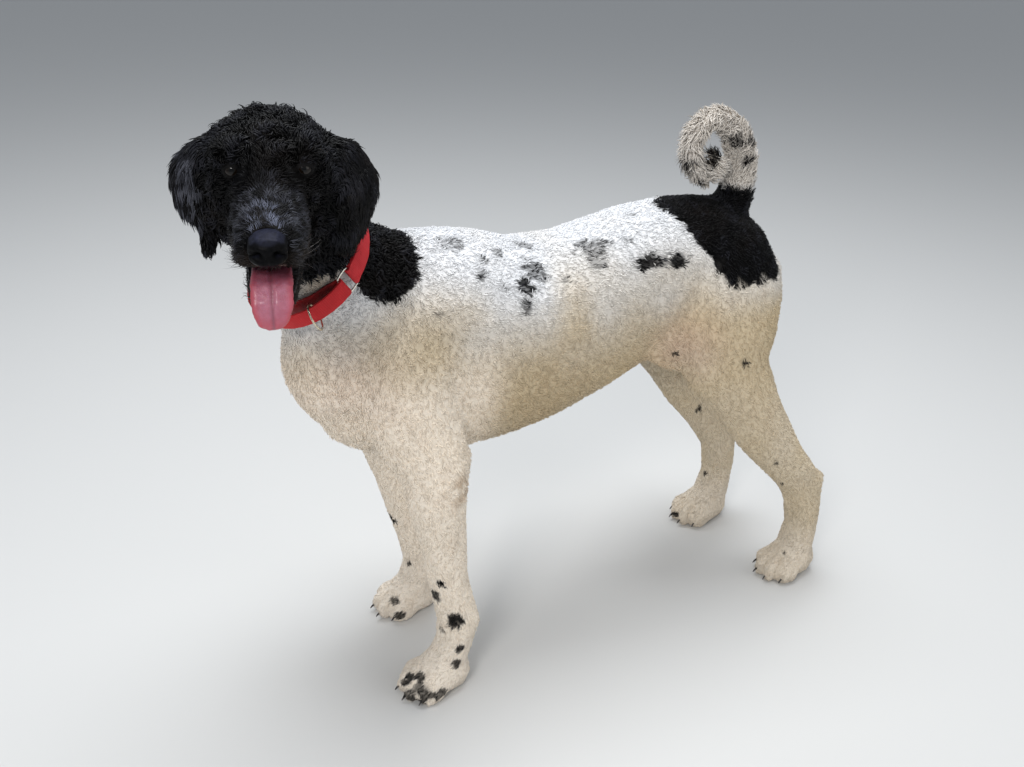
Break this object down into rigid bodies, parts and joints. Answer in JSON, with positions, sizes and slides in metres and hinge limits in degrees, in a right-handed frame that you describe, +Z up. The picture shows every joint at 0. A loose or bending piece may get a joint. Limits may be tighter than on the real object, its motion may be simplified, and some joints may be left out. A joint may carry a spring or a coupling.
{
  "type": "standing standard poodle model",
  "caption": "Still model of a standing black and white poodle with drop ears, a curled tail, an open mouth with the tongue out, and a red webbing collar with a lead ring.",
  "frame": {"origin": "on the floor, under the middle of the box round the dog", "axes": "+X from the chest to the tail, -Y to the dog's left, +Z up; the head is turned to the dog's left"},
  "size_m": [0.931, 0.3668, 0.8012],
  "materials": {
    "black_coat": "black curly coat, matt",
    "white_coat": "white to cream short woolly coat, matt",
    "nose_leather": "moist black nose leather",
    "tongue": "wet pink tongue",
    "eye": "dark brown, wet",
    "claw": "dark horn",
    "red_webbing": "woven red webbing",
    "ring_metal": "polished plated wire"
  },
  "bodies": {
    "root": {"head": "black_coat", "lower_jaw": "black_coat", "ear_left": "black_coat", "ear_right": "black_coat", "neck": "black_coat", "trunk": "white_coat", "tail_base": "white_coat", "tail_middle": "white_coat", "tail_tip": "white_coat", "shoulder_left": "white_coat", "shoulder_right": "white_coat", "forearm_left": "white_coat", "forearm_right": "white_coat", "forepaw_left": "white_coat", "forepaw_right": "white_coat", "thigh_left": "white_coat", "thigh_right": "white_coat", "shank_left": "white_coat", "shank_right": "white_coat", "hock_left": "white_coat", "hock_right": "white_coat", "hindpaw_left": "white_coat", "hindpaw_right": "white_coat", "nose": "nose_leather", "tongue": "tongue", "eye_left": "eye", "eye_right": "eye", "claw_fore_left_1": "claw", "claw_fore_left_2": "claw", "claw_fore_left_3": "claw", "claw_fore_left_4": "claw", "claw_fore_right_1": "claw", "claw_fore_right_2": "claw", "claw_fore_right_3": "claw", "claw_fore_right_4": "claw", "claw_hind_left_1": "claw", "claw_hind_left_2": "claw", "claw_hind_left_3": "claw", "claw_hind_left_4": "claw", "claw_hind_right_1": "claw", "claw_hind_right_2": "claw", "claw_hind_right_3": "claw", "claw_hind_right_4": "claw", "collar_strap": "red_webbing", "collar_loop": "red_webbing", "collar_slide_left": "ring_metal", "collar_slide_right": "ring_metal", "collar_lead_ring": "ring_metal"}
  },
  "joints": []
}
